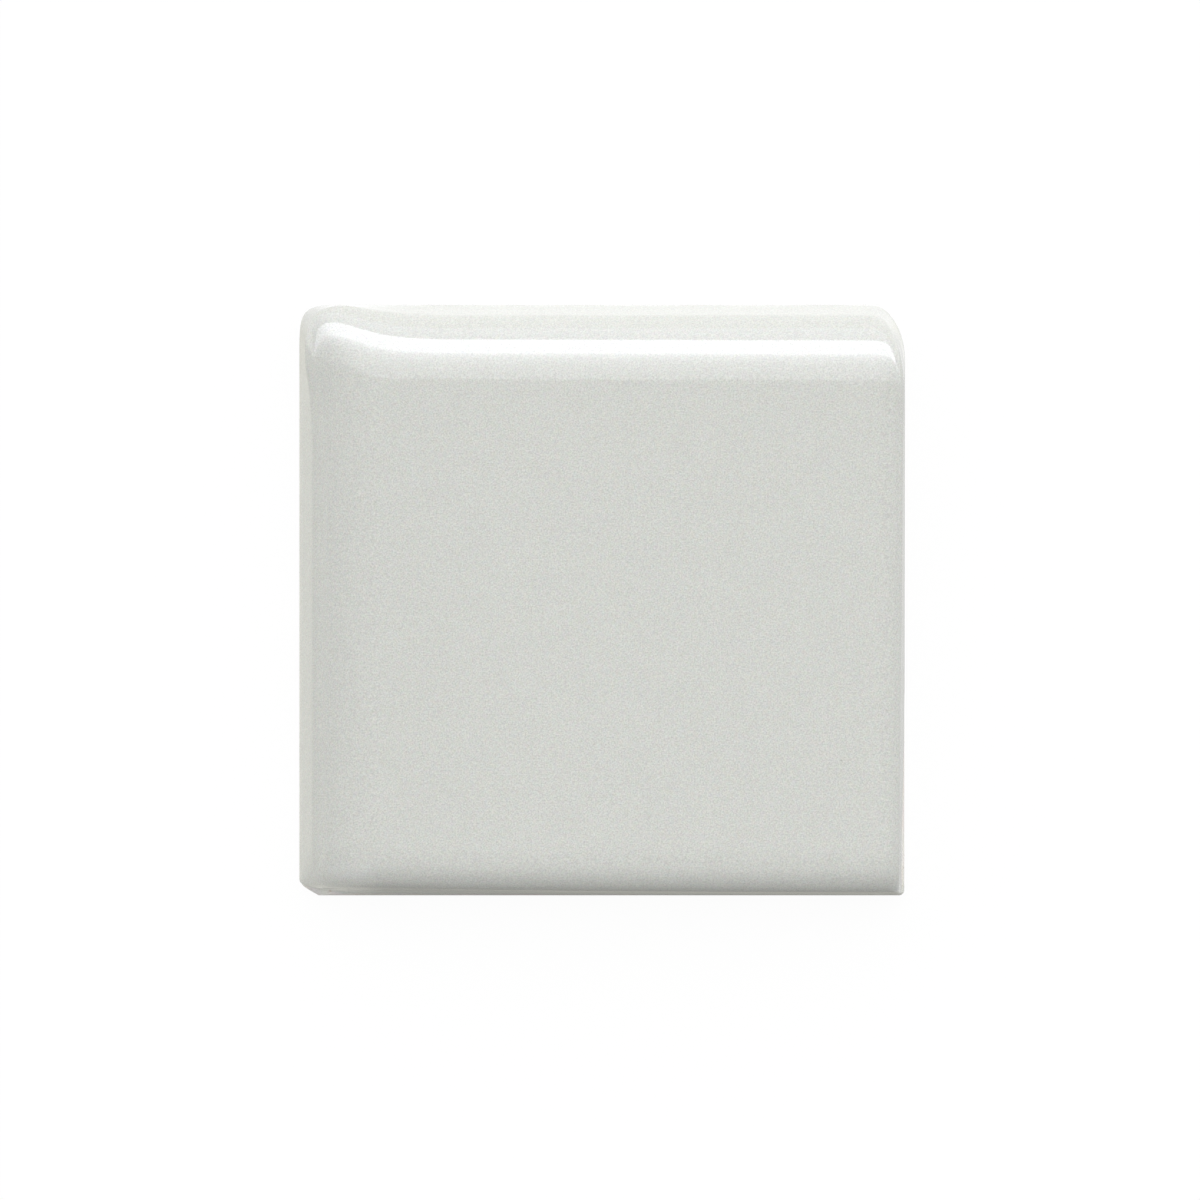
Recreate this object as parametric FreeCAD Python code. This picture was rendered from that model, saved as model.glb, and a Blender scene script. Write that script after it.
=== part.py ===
import FreeCAD, Part
import math
import os
from dataclasses import dataclass

# A bullnose corner tile, pressed and glazed as one piece, in millimetres.
# It lies on its back with the glazed face up. The north (+Y) and west (-X) edges are rolled over, and
# the south (-Y) and east (+X) edges are plain. The origin is the middle of the back.

# Overall size
WIDTH = 50.8
DEPTH = 49.6
THICKNESS = 7.9

# Rolled edges: the nose turns down from the face to a break line, and a leaning flank runs on to the foot
NOSE_RADIUS = 6.75
NOSE_SWEEP = 60.0
NORTH_FLANK_RUN = 0.95
WEST_FLANK_RUN = 1.1

# Plain edges: a slow lead-in and a small ease, and below them a side that leans out a little to the foot
LEAD_RADIUS = 10.0
SOUTH_LEAD_TURN = 8.0
SOUTH_EASE_RADIUS = 2.4
SOUTH_DRAFT = 4.5
EAST_LEAD_TURN = 6.0
EAST_EASE_RADIUS = 1.2
EAST_DRAFT = 1.5

# The pressed face's east edge draws in towards the south
EAST_LEAN = 0.35

# Foot: the upright rim that the pressing die leaves round the back, with its arris taken off
FOOT_HEIGHT = 1.3
BACK_CHAMFER = 0.3

# Rolled corner: on the way down, both noses swing out over their flanks towards it
NORTH_SWING = 0.83
NORTH_SWING_POWER = 1.55
WEST_SWING = 0.62
WEST_SWING_POWER = 2.4
SWING_REACH = 13.15
SWING_NEAR_HANDLE = 0.215
SWING_FAR_HANDLE = 0.73
FACE_CORNER_ALONG_NORTH = 1.0
FACE_CORNER_ALONG_WEST = 0.55
BREAK_CORNER_ALONG_NORTH = 3.1
BREAK_CORNER_ALONG_WEST = 4.0
CORNER_FULLNESS = 0.7
FOOT_CORNER_ALONG_NORTH = 4.2
FOOT_CORNER_ALONG_WEST = 4.0
FOOT_CORNER_FULLNESS = 0.89

# North nose's end: an added corner at the face that turns into the foot's round on the way down
NORTH_END_ALONG_NOSE = 3.0
NORTH_END_ALONG_SIDE = 4.5
NORTH_END_ROUND_FROM = 0.5
NORTH_END_ROUND_POWER = 0.9

# West nose's end, where the foot is cut across, and the corner between the two plain edges
WEST_END_ALONG_NOSE = 1.5
WEST_END_ALONG_SIDE = 1.6
WEST_END_RISE = 0.85
WEST_END_FULLNESS = 0.85
PLAIN_CORNER = 0.5

# An added corner is worked out this far below its level, so that the face's own corners aren't sharp
CORNER_TIP = 0.005

# Keyed back: drafted pockets between ribs that grip the adhesive
POCKETS_PER_ROW = 4
BACK_BORDER = 5.0
RIB_WIDTH = 2.2
POCKET_DEPTH = 0.7
POCKET_DRAFT = 30.0
POCKET_CORNER = 1.0

# Number of level outlines that shape each lofted band, and of steps round an added corner
LEAD_BANDS = 2
EASE_BANDS = 7
NOSE_BANDS = 3
CORNER_STEPS = 8

# Fullness that makes a corner curve follow a quarter circle
ROUND_FULLNESS = 0.5523


@dataclass(frozen=True)
class Nose:
    """Section of a rolled edge: an arc down from the face, then a flank out to the foot."""

    radius: float
    sweep: float
    flank_run: float

    @property
    def full_run(self):
        """Run of the whole arc."""
        return self.radius * math.sin(math.radians(self.sweep))

    @property
    def full_drop(self):
        """Drop of the whole arc, to the break line."""
        return self.radius * (1 - math.cos(math.radians(self.sweep)))

    def inset(self, drop):
        """How far the section stands in from the foot at a drop below the face."""
        return self.flank_run + self.full_run - self.run(drop)

    def run(self, drop):
        """How far the section has run out from the face at a drop below it."""
        return self.radius * math.sin(math.acos(1 - drop / self.radius))


@dataclass(frozen=True)
class Ease:
    """Section of a plain edge: a slow lead-in, a small arc, then a leaning flank out to the foot."""

    lead_turn: float
    radius: float
    draft: float

    @property
    def lead(self):
        """Turn of the lead-in, in radians."""
        return math.radians(self.lead_turn)

    @property
    def end(self):
        """Turn where the arc meets the flank, in radians."""
        return math.radians(90 - self.draft)

    def drop_at(self, turn):
        """Drop below the face where the section has turned through an angle."""
        lead = min(turn, self.lead)
        return LEAD_RADIUS * (1 - math.cos(lead)) + self.radius * (math.cos(lead) - math.cos(turn))

    def run_at(self, turn):
        """Run out from the face where the section has turned through an angle."""
        lead = min(turn, self.lead)
        return LEAD_RADIUS * math.sin(lead) + self.radius * (math.sin(turn) - math.sin(lead))

    def inset(self, drop):
        """How far the section stands in from the foot at a drop below the face."""
        return self.run(THICKNESS - FOOT_HEIGHT) - self.run(drop)

    def run(self, drop):
        """How far the section has run out from the face at a drop below it."""
        lead_drop, arc_drop = self.drop_at(self.lead), self.drop_at(self.end)
        if drop <= lead_drop:
            return self.run_at(math.acos(1 - drop / LEAD_RADIUS))
        if drop <= arc_drop:
            return self.run_at(math.acos(math.cos(self.lead) - (drop - lead_drop) / self.radius))
        return self.run_at(self.end) + (drop - arc_drop) * math.tan(math.radians(self.draft))


north_nose = Nose(NOSE_RADIUS, NOSE_SWEEP, NORTH_FLANK_RUN)
west_nose = Nose(NOSE_RADIUS, NOSE_SWEEP, WEST_FLANK_RUN)
south_ease = Ease(SOUTH_LEAD_TURN, SOUTH_EASE_RADIUS, SOUTH_DRAFT)
east_ease = Ease(EAST_LEAD_TURN, EAST_EASE_RADIUS, EAST_DRAFT)


def bezier(*poles):
    """Curve with the given poles."""
    curve = Part.BezierCurve()
    curve.setPoles(poles)
    return curve


def corner_curve(start, apex, end, fullness=ROUND_FULLNESS):
    """Curve that rounds off the corner at apex, from a point on one side to a point on the next."""
    return bezier(start, start + (apex - start) * fullness, end + (apex - end) * fullness, end)


def added_corner(drop, first, second):
    """Corner of a level where the drops of two edges add up, as distances in from the edges' lines."""
    deep = drop + CORNER_TIP
    corner = []
    for step in range(CORNER_STEPS + 1):
        angle = math.pi / 2 * step / CORNER_STEPS
        corner.append((
            first.run(deep) - first.run(deep * math.cos(angle) ** 2),
            second.run(deep) - second.run(deep * math.sin(angle) ** 2),
        ))
    return corner


def north_end_corner(drop):
    """Added corner where the north nose ends, turning into the foot's round on the way down."""
    corner = added_corner(drop, east_ease, north_nose)
    share = max(0.0, (drop - NORTH_END_ROUND_FROM) / (north_nose.full_drop - NORTH_END_ROUND_FROM))
    weight = share ** NORTH_END_ROUND_POWER
    foot_round = corner_curve(
        FreeCAD.Vector(0, NORTH_END_ALONG_SIDE, 0), FreeCAD.Vector(), FreeCAD.Vector(NORTH_END_ALONG_NOSE, 0, 0))
    blended = []
    for step, (in_east, in_north) in enumerate(corner):
        target = foot_round.value(step / CORNER_STEPS)
        blended.append((in_east + (target.x - in_east) * weight, in_north + (target.y - in_north) * weight))
    return blended


def through(points, leaving, arriving):
    """Smooth curve through points that are evenly spaced in it."""
    curve = Part.BSplineCurve()
    steps = len(points) - 1
    curve.interpolate(
        Points=points, Parameters=[step / steps for step in range(steps + 1)],
        InitialTangent=leaving, FinalTangent=arriving)
    return curve


def outline_wire(swing_start, rolled_corner, swing_end, west_end, plain_corner, north_end):
    """Closed wire of a level, anticlockwise: its curves, with straight sides between them."""
    corner_start, corner_end = rolled_corner.StartPoint, rolled_corner.EndPoint
    westward = FreeCAD.Vector(corner_start.x - swing_start.x, 0, 0)
    southward = FreeCAD.Vector(0, swing_end.y - corner_end.y, 0)
    north_swing = bezier(
        swing_start, swing_start + westward * SWING_FAR_HANDLE, corner_start - westward * SWING_NEAR_HANDLE,
        corner_start)
    west_swing = bezier(
        corner_end, corner_end + southward * SWING_NEAR_HANDLE, swing_end - southward * SWING_FAR_HANDLE, swing_end)
    return Part.Wire([
        Part.makeLine(north_end.EndPoint, swing_start),
        north_swing.toShape(),
        rolled_corner.toShape(),
        west_swing.toShape(),
        Part.makeLine(swing_end, west_end.StartPoint),
        west_end.toShape(),
        Part.makeLine(west_end.EndPoint, plain_corner.StartPoint),
        plain_corner.toShape(),
        Part.makeLine(plain_corner.EndPoint, north_end.StartPoint),
        north_end.toShape(),
    ])


def pressed_wire(drop):
    """Outline of the pressed face at a drop below it, from the face's edge to the break line."""
    north = DEPTH / 2 - north_nose.inset(drop)
    west = west_nose.inset(drop) - WIDTH / 2
    south = south_ease.inset(drop) - DEPTH / 2
    east = WIDTH / 2 - east_ease.inset(drop)
    lower_east = east - EAST_LEAN
    turned = north_nose.run(drop) / north_nose.full_run
    corner_x = west - WEST_SWING * turned ** WEST_SWING_POWER
    corner_y = north + NORTH_SWING * turned ** NORTH_SWING_POWER
    along_north = FACE_CORNER_ALONG_NORTH + (BREAK_CORNER_ALONG_NORTH - FACE_CORNER_ALONG_NORTH) * turned
    along_west = FACE_CORNER_ALONG_WEST + (BREAK_CORNER_ALONG_WEST - FACE_CORNER_ALONG_WEST) * turned
    northward, eastward = FreeCAD.Vector(0, 1, 0), FreeCAD.Vector(1, 0, 0)

    def at(x, y):
        return FreeCAD.Vector(x, y, THICKNESS - drop)

    west_end = [at(west + a, south + b) for a, b in added_corner(drop, west_nose, south_ease)]
    plain_corner = [at(lower_east - b, south + a) for a, b in added_corner(drop, south_ease, east_ease)]
    north_end = [at(east - a, north - b) for a, b in north_end_corner(drop)]
    return outline_wire(
        at(SWING_REACH - WIDTH / 2, north),
        corner_curve(
            at(corner_x + along_north, corner_y), at(corner_x, corner_y),
            at(corner_x, corner_y - along_west), CORNER_FULLNESS),
        at(west, DEPTH / 2 - SWING_REACH),
        through(west_end, -northward, eastward),
        through(plain_corner, eastward, northward),
        through(north_end, northward, -eastward),
    )


def foot_wire(height, inset):
    """Outline of the foot at a height, drawn in on every side by the inset."""
    west, east = inset - WIDTH / 2, WIDTH / 2 - inset
    south, north = inset - DEPTH / 2, DEPTH / 2 - inset

    def at(x, y):
        return FreeCAD.Vector(x, y, height)

    return outline_wire(
        at(SWING_REACH - WIDTH / 2, north),
        corner_curve(
            at(west + FOOT_CORNER_ALONG_NORTH - inset, north), at(west, north),
            at(west, north - FOOT_CORNER_ALONG_WEST + inset), FOOT_CORNER_FULLNESS),
        at(west, DEPTH / 2 - SWING_REACH),
        corner_curve(
            at(west, south + WEST_END_ALONG_NOSE - inset), at(west, south + WEST_END_RISE),
            at(west + WEST_END_ALONG_SIDE - inset, south), WEST_END_FULLNESS),
        corner_curve(at(east - PLAIN_CORNER, south), at(east, south), at(east, south + PLAIN_CORNER)),
        corner_curve(
            at(east, north - NORTH_END_ALONG_SIDE + inset), at(east, north),
            at(east - NORTH_END_ALONG_NOSE + inset, north)),
    )


def tile_blank():
    """The pressed tile with a plain flat back."""
    turns = [south_ease.lead * band / LEAD_BANDS for band in range(LEAD_BANDS)]
    arc = south_ease.end - south_ease.lead
    turns += [south_ease.lead + arc * band / EASE_BANDS for band in range(EASE_BANDS + 1)]
    eased = [pressed_wire(south_ease.drop_at(turn)) for turn in turns]
    arc_drop = south_ease.drop_at(south_ease.end)
    rest = north_nose.full_drop - arc_drop
    rolled = [pressed_wire(arc_drop + rest * band / NOSE_BANDS) for band in range(NOSE_BANDS + 1)]
    foot = [foot_wire(0.0, BACK_CHAMFER), foot_wire(BACK_CHAMFER, 0.0), foot_wire(FOOT_HEIGHT, 0.0)]
    lower = Part.makeLoft(foot + [rolled[-1]], True, True)
    nose = Part.makeLoft(rolled, True, False)
    face = Part.makeLoft(eased, True, False)
    return lower.fuse([nose, face]).removeSplitter()


def pocket_wire(size_x, size_y, radius, height):
    """Rounded rectangle about the origin, at a height."""
    x, y = size_x / 2, size_y / 2
    corners = [(x, y), (-x, y), (-x, -y), (x, -y)]
    edges = []
    for index, (cx, cy) in enumerate(corners):
        px, py = corners[index - 1]
        nx, ny = corners[(index + 1) % len(corners)]
        apex = FreeCAD.Vector(cx, cy, height)
        inward = (FreeCAD.Vector(px, py, height) - apex).normalize() * radius
        onward = (FreeCAD.Vector(nx, ny, height) - apex).normalize() * radius
        edges.append(corner_curve(apex + inward, apex, apex + onward).toShape())
    sides = []
    for index, edge in enumerate(edges):
        following = edges[(index + 1) % len(edges)]
        sides += [edge, Part.makeLine(edge.Vertexes[-1].Point, following.Vertexes[0].Point)]
    return Part.Wire(sides)


def back_pockets():
    """The pockets of the keyed back, in rows between the ribs."""
    pitch_x = (WIDTH - 2 * BACK_BORDER + RIB_WIDTH) / POCKETS_PER_ROW
    pitch_y = (DEPTH - 2 * BACK_BORDER + RIB_WIDTH) / POCKETS_PER_ROW
    draw_in = 2 * POCKET_DEPTH * math.tan(math.radians(POCKET_DRAFT))
    size_x, size_y = pitch_x - RIB_WIDTH, pitch_y - RIB_WIDTH
    mouth = pocket_wire(size_x, size_y, POCKET_CORNER, 0.0)
    floor = pocket_wire(size_x - draw_in, size_y - draw_in, POCKET_CORNER, POCKET_DEPTH)
    pocket = Part.makeLoft([mouth, floor], True, True)
    middle = (POCKETS_PER_ROW - 1) / 2
    pockets = []
    for column in range(POCKETS_PER_ROW):
        for row in range(POCKETS_PER_ROW):
            place = FreeCAD.Vector((column - middle) * pitch_x, (row - middle) * pitch_y, 0)
            pockets.append(pocket.translated(place))
    return pockets


os.makedirs("parts", exist_ok=True)
tile = tile_blank().cut(back_pockets())
tile.exportStep("parts/bullnose_tile.step")
print("solids", len(tile.Solids), "valid", tile.isValid(), "faces", len(tile.Faces))
print("volume mm3", round(tile.Volume, 1), "box", tile.BoundBox)
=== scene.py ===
import logging
import math
from collections.abc import Sequence
from dataclasses import dataclass
from enum import Enum
from typing import Protocol

import bmesh
import bpy
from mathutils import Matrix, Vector, noise

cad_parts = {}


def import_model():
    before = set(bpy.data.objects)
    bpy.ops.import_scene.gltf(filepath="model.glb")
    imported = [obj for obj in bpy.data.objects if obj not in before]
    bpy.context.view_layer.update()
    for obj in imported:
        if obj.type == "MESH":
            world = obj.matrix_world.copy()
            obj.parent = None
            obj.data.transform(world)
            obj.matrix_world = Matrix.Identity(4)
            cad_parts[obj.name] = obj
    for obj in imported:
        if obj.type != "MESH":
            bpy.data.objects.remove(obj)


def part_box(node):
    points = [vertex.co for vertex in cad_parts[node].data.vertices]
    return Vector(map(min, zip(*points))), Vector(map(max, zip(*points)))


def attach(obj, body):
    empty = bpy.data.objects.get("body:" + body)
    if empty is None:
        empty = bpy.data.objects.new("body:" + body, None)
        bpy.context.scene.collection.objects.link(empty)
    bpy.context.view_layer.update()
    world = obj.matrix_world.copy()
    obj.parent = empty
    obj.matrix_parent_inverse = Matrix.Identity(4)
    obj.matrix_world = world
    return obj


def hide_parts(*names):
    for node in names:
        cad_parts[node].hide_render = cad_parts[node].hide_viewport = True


log = logging.getLogger("bullnose_tile")

NODE = "bullnose_tile"
BODY = "root"
MM = 0.001
RIGHT_ANGLE = 90.0
# How far the poles of a curve stand towards its apex: for about a quarter circle, and for a plain bow.
ROUND_FULLNESS = 0.5523
BOW_FULLNESS = 2 / 3
# Signs of X and Y in the four quarters, anticlockwise from the north-east.
QUARTERS = ((1, 1), (-1, 1), (-1, -1), (1, -1))
# Vertex attribute that says where glaze dust lies on the clay.
DUST = "glaze_dust"
NOISE_MIDDLE = 0.5
WHITE = (1.0, 1.0, 1.0, 1.0)


class Surface(Enum):
    """Material slots of the tile's mesh."""

    GLAZE = 0
    CLAY = 1


class Side(Enum):
    """Stretches of an outline, in the order that a ring of points runs through them."""

    NORTH = "north"
    NORTH_SWING = "north swing"
    ROLLED_CORNER = "rolled corner"
    WEST_SWING = "west swing"
    WEST = "west"
    WEST_END = "west end"
    SOUTH = "south"
    PLAIN_CORNER = "plain corner"
    EAST = "east"
    NORTH_END = "north end"


STEPS: dict[Side, int] = {
    Side.NORTH: 40,
    Side.NORTH_SWING: 30,
    Side.ROLLED_CORNER: 32,
    Side.WEST_SWING: 30,
    Side.WEST: 40,
    Side.WEST_END: 24,
    Side.SOUTH: 56,
    Side.PLAIN_CORNER: 20,
    Side.EAST: 56,
    Side.NORTH_END: 24,
}

Point = tuple[float, float]
Colour = tuple[float, float, float]
Ring = tuple[list[Vector], Surface]
Feed = bpy.types.NodeSocket | float | Sequence[float]


def bezier(poles: Sequence[Point], share: float) -> Point:
    """Point on a cubic curve.

    Args:
        poles: The curve's four poles.
        share: How far along the curve, from 0 to 1.

    Returns:
        The point there.
    """
    rest = 1 - share
    weights = (rest**3, 3 * rest * rest * share, 3 * rest * share * share, share**3)
    return (
        sum(w * p[0] for w, p in zip(weights, poles)),
        sum(w * p[1] for w, p in zip(weights, poles)),
    )


def along(poles: Sequence[Point], count: int) -> list[Point]:
    """Points of a cubic curve at even steps, without its last point."""
    return [bezier(poles, step / count) for step in range(count)]


def between(start: Point, end: Point, share: float) -> Point:
    """Point on the straight line from start to end."""
    return start[0] + (end[0] - start[0]) * share, start[1] + (end[1] - start[1]) * share


def rounded(start: Point, apex: Point, end: Point, fullness: float) -> tuple[Point, ...]:
    """Poles of a cubic curve that rounds an apex."""
    return start, between(start, apex, fullness), between(end, apex, fullness), end


def about(middle: float, span: Point) -> Point:
    """Ends of a span that is measured from a middle."""
    return middle + span[0], middle + span[1]


def smooth_step(low: float, high: float, value: float) -> float:
    """Eases from 0 at low to 1 at high."""
    share = min(1.0, max(0.0, (value - low) / (high - low)))
    return share * share * (3 - 2 * share)


def opaque(colour: Colour) -> tuple[float, float, float, float]:
    """Colour with full cover, as a node's input takes it."""
    return (*colour, 1.0)


def band(
    shape: bmesh.types.BMesh,
    first: Sequence[bmesh.types.BMVert],
    second: Sequence[bmesh.types.BMVert],
) -> list[bmesh.types.BMFace]:
    """Faces between two rings.

    Args:
        shape: The mesh that the rings are in.
        first: The first ring.
        second: The second ring, with as many points.

    Returns:
        The new faces.
    """
    faces = []
    for i in range(len(first)):
        j = (i + 1) % len(first)
        faces.append(shape.faces.new((first[i], second[i], second[j], first[j])))
    return faces


def fill_level(
    shape: bmesh.types.BMesh,
    edges: Sequence[bmesh.types.BMEdge],
    up: int,
) -> list[bmesh.types.BMFace]:
    """Fills the level space between edges with triangles.

    Args:
        shape: The mesh that the edges are in.
        edges: The edges round the space.
        up: 1 for faces that look up, -1 for faces that look down.

    Returns:
        The new faces.
    """
    filled = bmesh.ops.triangle_fill(
        shape, use_beauty=True, use_dissolve=False, edges=edges, normal=(0, 0, up)
    )
    faces = [part for part in filled["geom"] if isinstance(part, bmesh.types.BMFace)]
    for face in faces:
        if face.normal.z * up < 0:
            face.normal_flip()
    return faces


def as_mesh(name: str, shape: bmesh.types.BMesh) -> bpy.types.Mesh:
    """Turns a shape into a plain mesh.

    Args:
        name: The mesh's name.
        shape: The shape, which is freed.

    Returns:
        The mesh.
    """
    mesh = bpy.data.meshes.new(name)
    shape.to_mesh(mesh)
    shape.free()
    return mesh


def placed(name: str, data: bpy.types.ID) -> bpy.types.Object:
    """Puts a new object into the scene.

    Args:
        name: The object's name.
        data: Its mesh or camera.

    Returns:
        The object.
    """
    made = bpy.data.objects.new(name, data)
    bpy.context.scene.collection.objects.link(made)
    return made


class EdgeProfile(Protocol):
    """Section of an edge of the face."""

    def run(self, drop: float) -> float:
        """How far the section has run out from the face where it has dropped so far."""


@dataclass(frozen=True)
class Nose:
    """Section of a rolled edge in millimetres: an arc down from the face, then a flank out to the foot."""

    radius: float
    sweep: float
    flank_run: float

    @property
    def full_run(self) -> float:
        """Run of the whole arc."""
        return self.radius * math.sin(math.radians(self.sweep))

    @property
    def full_drop(self) -> float:
        """Drop of the whole arc, to the break line."""
        return self.radius * (1 - math.cos(math.radians(self.sweep)))

    @property
    def inset(self) -> float:
        """How far the face's edge stands in from the foot."""
        return self.flank_run + self.full_run

    def run(self, drop: float) -> float:
        """Run out from the face at a drop."""
        return self.radius * math.sin(math.acos(1 - drop / self.radius))


@dataclass(frozen=True)
class Ease:
    """Section of a plain edge in millimetres: a slow lead-in, a small arc, then a leaning flank."""

    lead_radius: float
    lead_turn: float
    radius: float
    draft: float
    face_rise: float

    @property
    def lead(self) -> float:
        """Turn of the lead-in, in radians."""
        return math.radians(self.lead_turn)

    @property
    def end(self) -> float:
        """Turn where the arc meets the flank, in radians."""
        return math.radians(RIGHT_ANGLE - self.draft)

    def drop_at(self, turn: float) -> float:
        """Drop below the face where the section has turned through an angle, in radians."""
        lead = min(turn, self.lead)
        return self.lead_radius * (1 - math.cos(lead)) + self.radius * (math.cos(lead) - math.cos(turn))

    def run_at(self, turn: float) -> float:
        """Run out from the face where the section has turned through an angle, in radians."""
        lead = min(turn, self.lead)
        return self.lead_radius * math.sin(lead) + self.radius * (math.sin(turn) - math.sin(lead))

    @property
    def inset(self) -> float:
        """How far the face's edge stands in from the foot."""
        flank = math.tan(math.radians(self.draft)) * (self.face_rise - self.drop_at(self.end))
        return flank + self.run_at(self.end)

    def run(self, drop: float) -> float:
        """Run out from the face at a drop.

        Args:
            drop: Drop below the face.

        Returns:
            The run of the lead-in, the arc or the flank there.
        """
        lead_drop, full_drop = self.drop_at(self.lead), self.drop_at(self.end)
        if drop <= lead_drop:
            return self.run_at(math.acos(1 - drop / self.lead_radius))
        if drop <= full_drop:
            return self.run_at(math.acos(math.cos(self.lead) - (drop - lead_drop) / self.radius))
        return self.run_at(self.end) + (drop - full_drop) * math.tan(math.radians(self.draft))


@dataclass(frozen=True)
class Flank:
    """Steep side of the tile, from the break line down to the foot. Lengths are in millimetres."""

    top: float
    bottom: float
    upper: list[Point]
    lower: list[Point]

    def outward(self) -> list[Vector]:
        """Level directions out of the foot.

        Returns:
            A direction for each point of a ring.
        """
        count = len(self.lower)
        ways = []
        for i in range(count):
            ahead, behind = self.lower[(i + 1) % count], self.lower[i - 1]
            ways.append(Vector((ahead[1] - behind[1], behind[0] - ahead[0], 0)).normalized())
        return ways

    def ring(self, heights: Sequence[float], offset: float) -> list[Vector]:
        """Ring round the flank, or straight below it where it is lower than the flank.

        Args:
            heights: Height of each point.
            offset: How far the points stand out from the side.

        Returns:
            The points.
        """
        points = []
        for start, end, way, height in zip(self.upper, self.lower, self.outward(), heights):
            share = min(1.0, max(0.0, (self.top - height) / (self.top - self.bottom)))
            points.append(Vector((*between(start, end, share), height)) + way * offset)
        return points


@dataclass
class PressedTile:
    """The pressed and glazed tile: face, noses, eases, flanks, foot and the rim of its back.

    Lengths are in millimetres. The overall size comes from the frame.
    """

    width: float
    depth: float
    thickness: float
    foot_height: float = 1.3
    back_chamfer: float = 0.3
    nose_radius: float = 6.75
    nose_sweep: float = 60.0
    north_flank_run: float = 0.91
    west_flank_run: float = 1.1
    lead_radius: float = 10.0
    south_lead_turn: float = 8.0
    south_radius: float = 2.4
    south_draft: float = 4.5
    east_lead_turn: float = 6.0
    east_radius: float = 1.2
    east_draft: float = 1.5
    # The east side leans in at its south end, the south one at its west end, the north one at its east end.
    east_lean: float = 0.35
    south_bow: float = 0.32
    north_lean: float = 0.12
    north_lean_power: float = 8.0
    # How far both noses swing out to the rolled corner, and how that grows with the nose's run.
    north_swing: float = 0.83
    north_swing_power: float = 1.55
    west_swing: float = 0.62
    west_swing_power: float = 2.4
    swing_reach: float = 13.15
    # Handles of the swings, in shares of their run.
    near_handle: float = 0.215
    far_handle: float = 0.73
    # How much of the north and west sides the rolled corner takes, at the face, the break line and the foot.
    face_corner: Point = (1.0, 0.55)
    break_corner: Point = (3.1, 4.0)
    corner_fullness: float = 0.7
    foot_corner: Point = (4.0, 3.8)
    foot_corner_fullness: float = 0.94
    north_end_along_nose: float = 3.0
    north_end_along_side: float = 4.5
    north_end_round_from: float = 0.45
    north_end_round_power: float = 0.88
    west_end_along_nose: float = 1.5
    west_end_along_side: float = 1.6
    west_end_rise: float = 0.85
    west_end_fullness: float = 0.85
    plain_corner: float = 0.5
    corner_tip: float = 0.005
    # Heights of the glaze's lower edge.
    glaze_rolled: float = 1.0
    glaze_south: float = 2.8
    glaze_east_high: float = 3.9
    glaze_east_low: float = 1.8
    glaze_east_climb: float = 0.4
    glaze_waver: float = 0.22
    waver_scale: float = 0.35
    waver_seed: float = 3.0
    # Rings of the glaze's lip: height above its lower edge, and how far it stands out there.
    glaze_lip: tuple[Point, ...] = ((0.18, 0.018), (0.08, 0.03), (0.02, 0.015), (0.0, -0.02))
    lip_top: float = 0.3
    clay_inset: float = 0.04
    clay_drop: float = 0.03
    lead_rings: int = 6
    ease_rings: int = 26
    nose_rings: int = 8
    flank_rings: int = 7
    flank_ring_power: float = 1.3
    foot_rings: int = 4
    face_scales: tuple[float, ...] = (0.04, 0.25, 0.45, 0.65, 0.82, 0.94, 0.985)
    sharp_angle: float = 28.0

    def __post_init__(self) -> None:
        """Sets out the sections of the four edges."""
        rise = self.thickness - self.foot_height
        self.north_nose = Nose(self.nose_radius, self.nose_sweep, self.north_flank_run)
        self.west_nose = Nose(self.nose_radius, self.nose_sweep, self.west_flank_run)
        self.south_ease = Ease(
            self.lead_radius, self.south_lead_turn, self.south_radius, self.south_draft, rise
        )
        self.east_ease = Ease(
            self.lead_radius, self.east_lead_turn, self.east_radius, self.east_draft, rise
        )

    def _added_corner(self, drop: float, first: EdgeProfile, second: EdgeProfile, side: Side) -> list[Point]:
        """Corner of a level outline where the drops of two edges add up.

        Args:
            drop: Drop of the level below the face.
            first: Section of the edge that the outline comes from.
            second: Section of the edge that it goes on to.
            side: The stretch that the corner is.

        Returns:
            Distances in from the first edge's line and the second's, from one to the other.
        """
        deep = drop + self.corner_tip
        count = STEPS[side]
        points = []
        for step in range(count + 1):
            angle = math.pi / 2 * step / count
            in_first = first.run(deep) - first.run(deep * math.cos(angle) ** 2)
            in_second = second.run(deep) - second.run(deep * math.sin(angle) ** 2)
            points.append((in_first, in_second))
        return points

    def _swing_ends(self, north: float, west: float) -> tuple[Point, Point]:
        """Where the north side starts to swing out to the rolled corner, and where the west side stops."""
        return (self.swing_reach - self.width / 2, north), (west, self.depth / 2 - self.swing_reach)

    def _swings(self, swing_ends: tuple[Point, Point], corner: Sequence[Point]) -> dict[Side, list[Point]]:
        """Stretches that swing out to the rolled corner, and the corner itself.

        Args:
            swing_ends: Where the north side starts to swing and the west side stops.
            corner: Poles of the corner.

        Returns:
            The points of each stretch, without its last.
        """
        north, west = swing_ends
        first, last = corner[0], corner[-1]
        run_x, run_y = north[0] - first[0], last[1] - west[1]
        poles = {
            Side.NORTH_SWING: (
                north,
                (north[0] - self.far_handle * run_x, north[1]),
                (first[0] + self.near_handle * run_x, first[1]),
                first,
            ),
            Side.ROLLED_CORNER: corner,
            Side.WEST_SWING: (
                last,
                (last[0], last[1] - self.near_handle * run_y),
                (west[0], west[1] + self.far_handle * run_y),
                west,
            ),
        }
        return {side: along(curve, STEPS[side]) for side, curve in poles.items()}

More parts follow.
